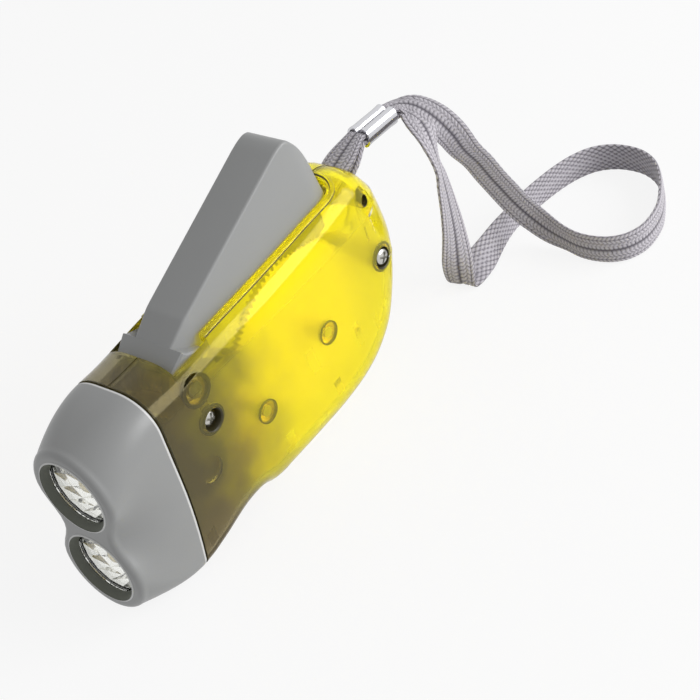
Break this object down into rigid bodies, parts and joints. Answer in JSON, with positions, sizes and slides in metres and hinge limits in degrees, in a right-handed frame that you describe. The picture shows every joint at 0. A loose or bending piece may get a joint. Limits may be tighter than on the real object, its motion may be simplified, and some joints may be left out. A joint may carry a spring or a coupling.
{
  "type": "squeeze dynamo torch",
  "caption": "Hand-squeezed dynamo torch: clear yellow body, grey twin-lens nose, sprung hand lever that turns a geared rotor, belly lock, side switch and flat wrist strap.",
  "frame": {"origin": "middle of the body and nose along their length, on the split plane, at the belly that the torch lies on", "axes": "+X from the lenses to the strap end, +Y to the side with the switch, +Z from the belly to the hand lever"},
  "size_m": [0.1691, 0.0586, 0.0669],
  "materials": {
    "clear_yellow_plastic": "clear moulded, polished",
    "grey_plastic": "satin moulded",
    "lens_plastic": "clear polished",
    "reflector_chrome": "vacuum plated, faceted",
    "lamp_resin": "clear cast",
    "board_laminate": "solder mask",
    "dark_plastic": "satin moulded",
    "bright_steel": "turned and plated",
    "white_gear_plastic": "natural moulded",
    "magnet_ferrite": "sintered",
    "copper_wire": "enamelled winding",
    "ferrule_chrome": "polished",
    "grey_webbing": "braided flat cord"
  },
  "bodies": {
    "torch_body": {"left_housing": "clear_yellow_plastic", "right_housing": "clear_yellow_plastic", "nose_cap": "grey_plastic", "upper_lens": "lens_plastic", "lower_lens": "lens_plastic", "upper_reflector": "reflector_chrome", "lower_reflector": "reflector_chrome", "upper_led": "lamp_resin", "lower_led": "lamp_resin", "lamp_board": "board_laminate", "cell_holder": "dark_plastic", "button_cell_1": "bright_steel", "button_cell_2": "bright_steel", "button_cell_3": "bright_steel", "cell_contact": "bright_steel", "lever_pivot_pin": "bright_steel", "return_spring": "bright_steel", "gear_axle": "bright_steel", "rotor_axle": "bright_steel", "stator_core": "bright_steel", "coil_bobbin": "white_gear_plastic", "coil_winding": "copper_wire", "slide_switch": "dark_plastic", "front_screw": "bright_steel", "rear_screw": "bright_steel", "strap_pin": "bright_steel", "strap_ferrule": "ferrule_chrome", "wrist_strap": "grey_webbing"},
    "lever_body": {"lever": "grey_plastic"},
    "gear_body": {"drive_pinion": "white_gear_plastic", "ratchet_gear": "white_gear_plastic", "ratchet_pawl_1": "bright_steel", "ratchet_pawl_2": "bright_steel"},
    "rotor_body": {"rotor": "white_gear_plastic", "flywheel": "bright_steel", "rotor_magnet": "magnet_ferrite"},
    "lock_body": {"lock_slider": "grey_plastic"},
    "switch_body": {"switch_button": "grey_plastic"}
  },
  "joints": [
    {"name": "lever_hinge", "type": "hinge", "parent": "torch_body", "child": "lever_body", "pos_m": [-0.01913, 0, 0.04], "axis": [0, 1, 0], "range_deg": [0, 16.5], "stiffness_Nm_per_rad": 0.12, "springref_deg": -17.19, "deforming": ["return_spring"]},
    {"name": "gear_spin", "type": "hinge", "parent": "torch_body", "child": "gear_body", "pos_m": [0.01882, 0, 0.02397], "axis": [0, 1, 0], "range_deg": [-1, 187.5]},
    {"name": "rotor_spin", "type": "hinge", "parent": "torch_body", "child": "rotor_body", "pos_m": [-0.00423, 0, 0.02089], "axis": [0, 1, 0], "range_deg": [-836, 3]},
    {"name": "lock_slide", "type": "slide", "parent": "torch_body", "child": "lock_body", "axis": [-1, 0, 0], "range_m": [0, 0.004]},
    {"name": "switch_slide", "type": "slide", "parent": "torch_body", "child": "switch_body", "axis": [1, 0, 0], "range_m": [0, 0.003]}
  ],
  "couplings": [
    {"joint": "gear_spin", "follows": "lever_hinge", "ratio": 11.3},
    {"joint": "rotor_spin", "follows": "lever_hinge", "ratio": -50.518}
  ]
}
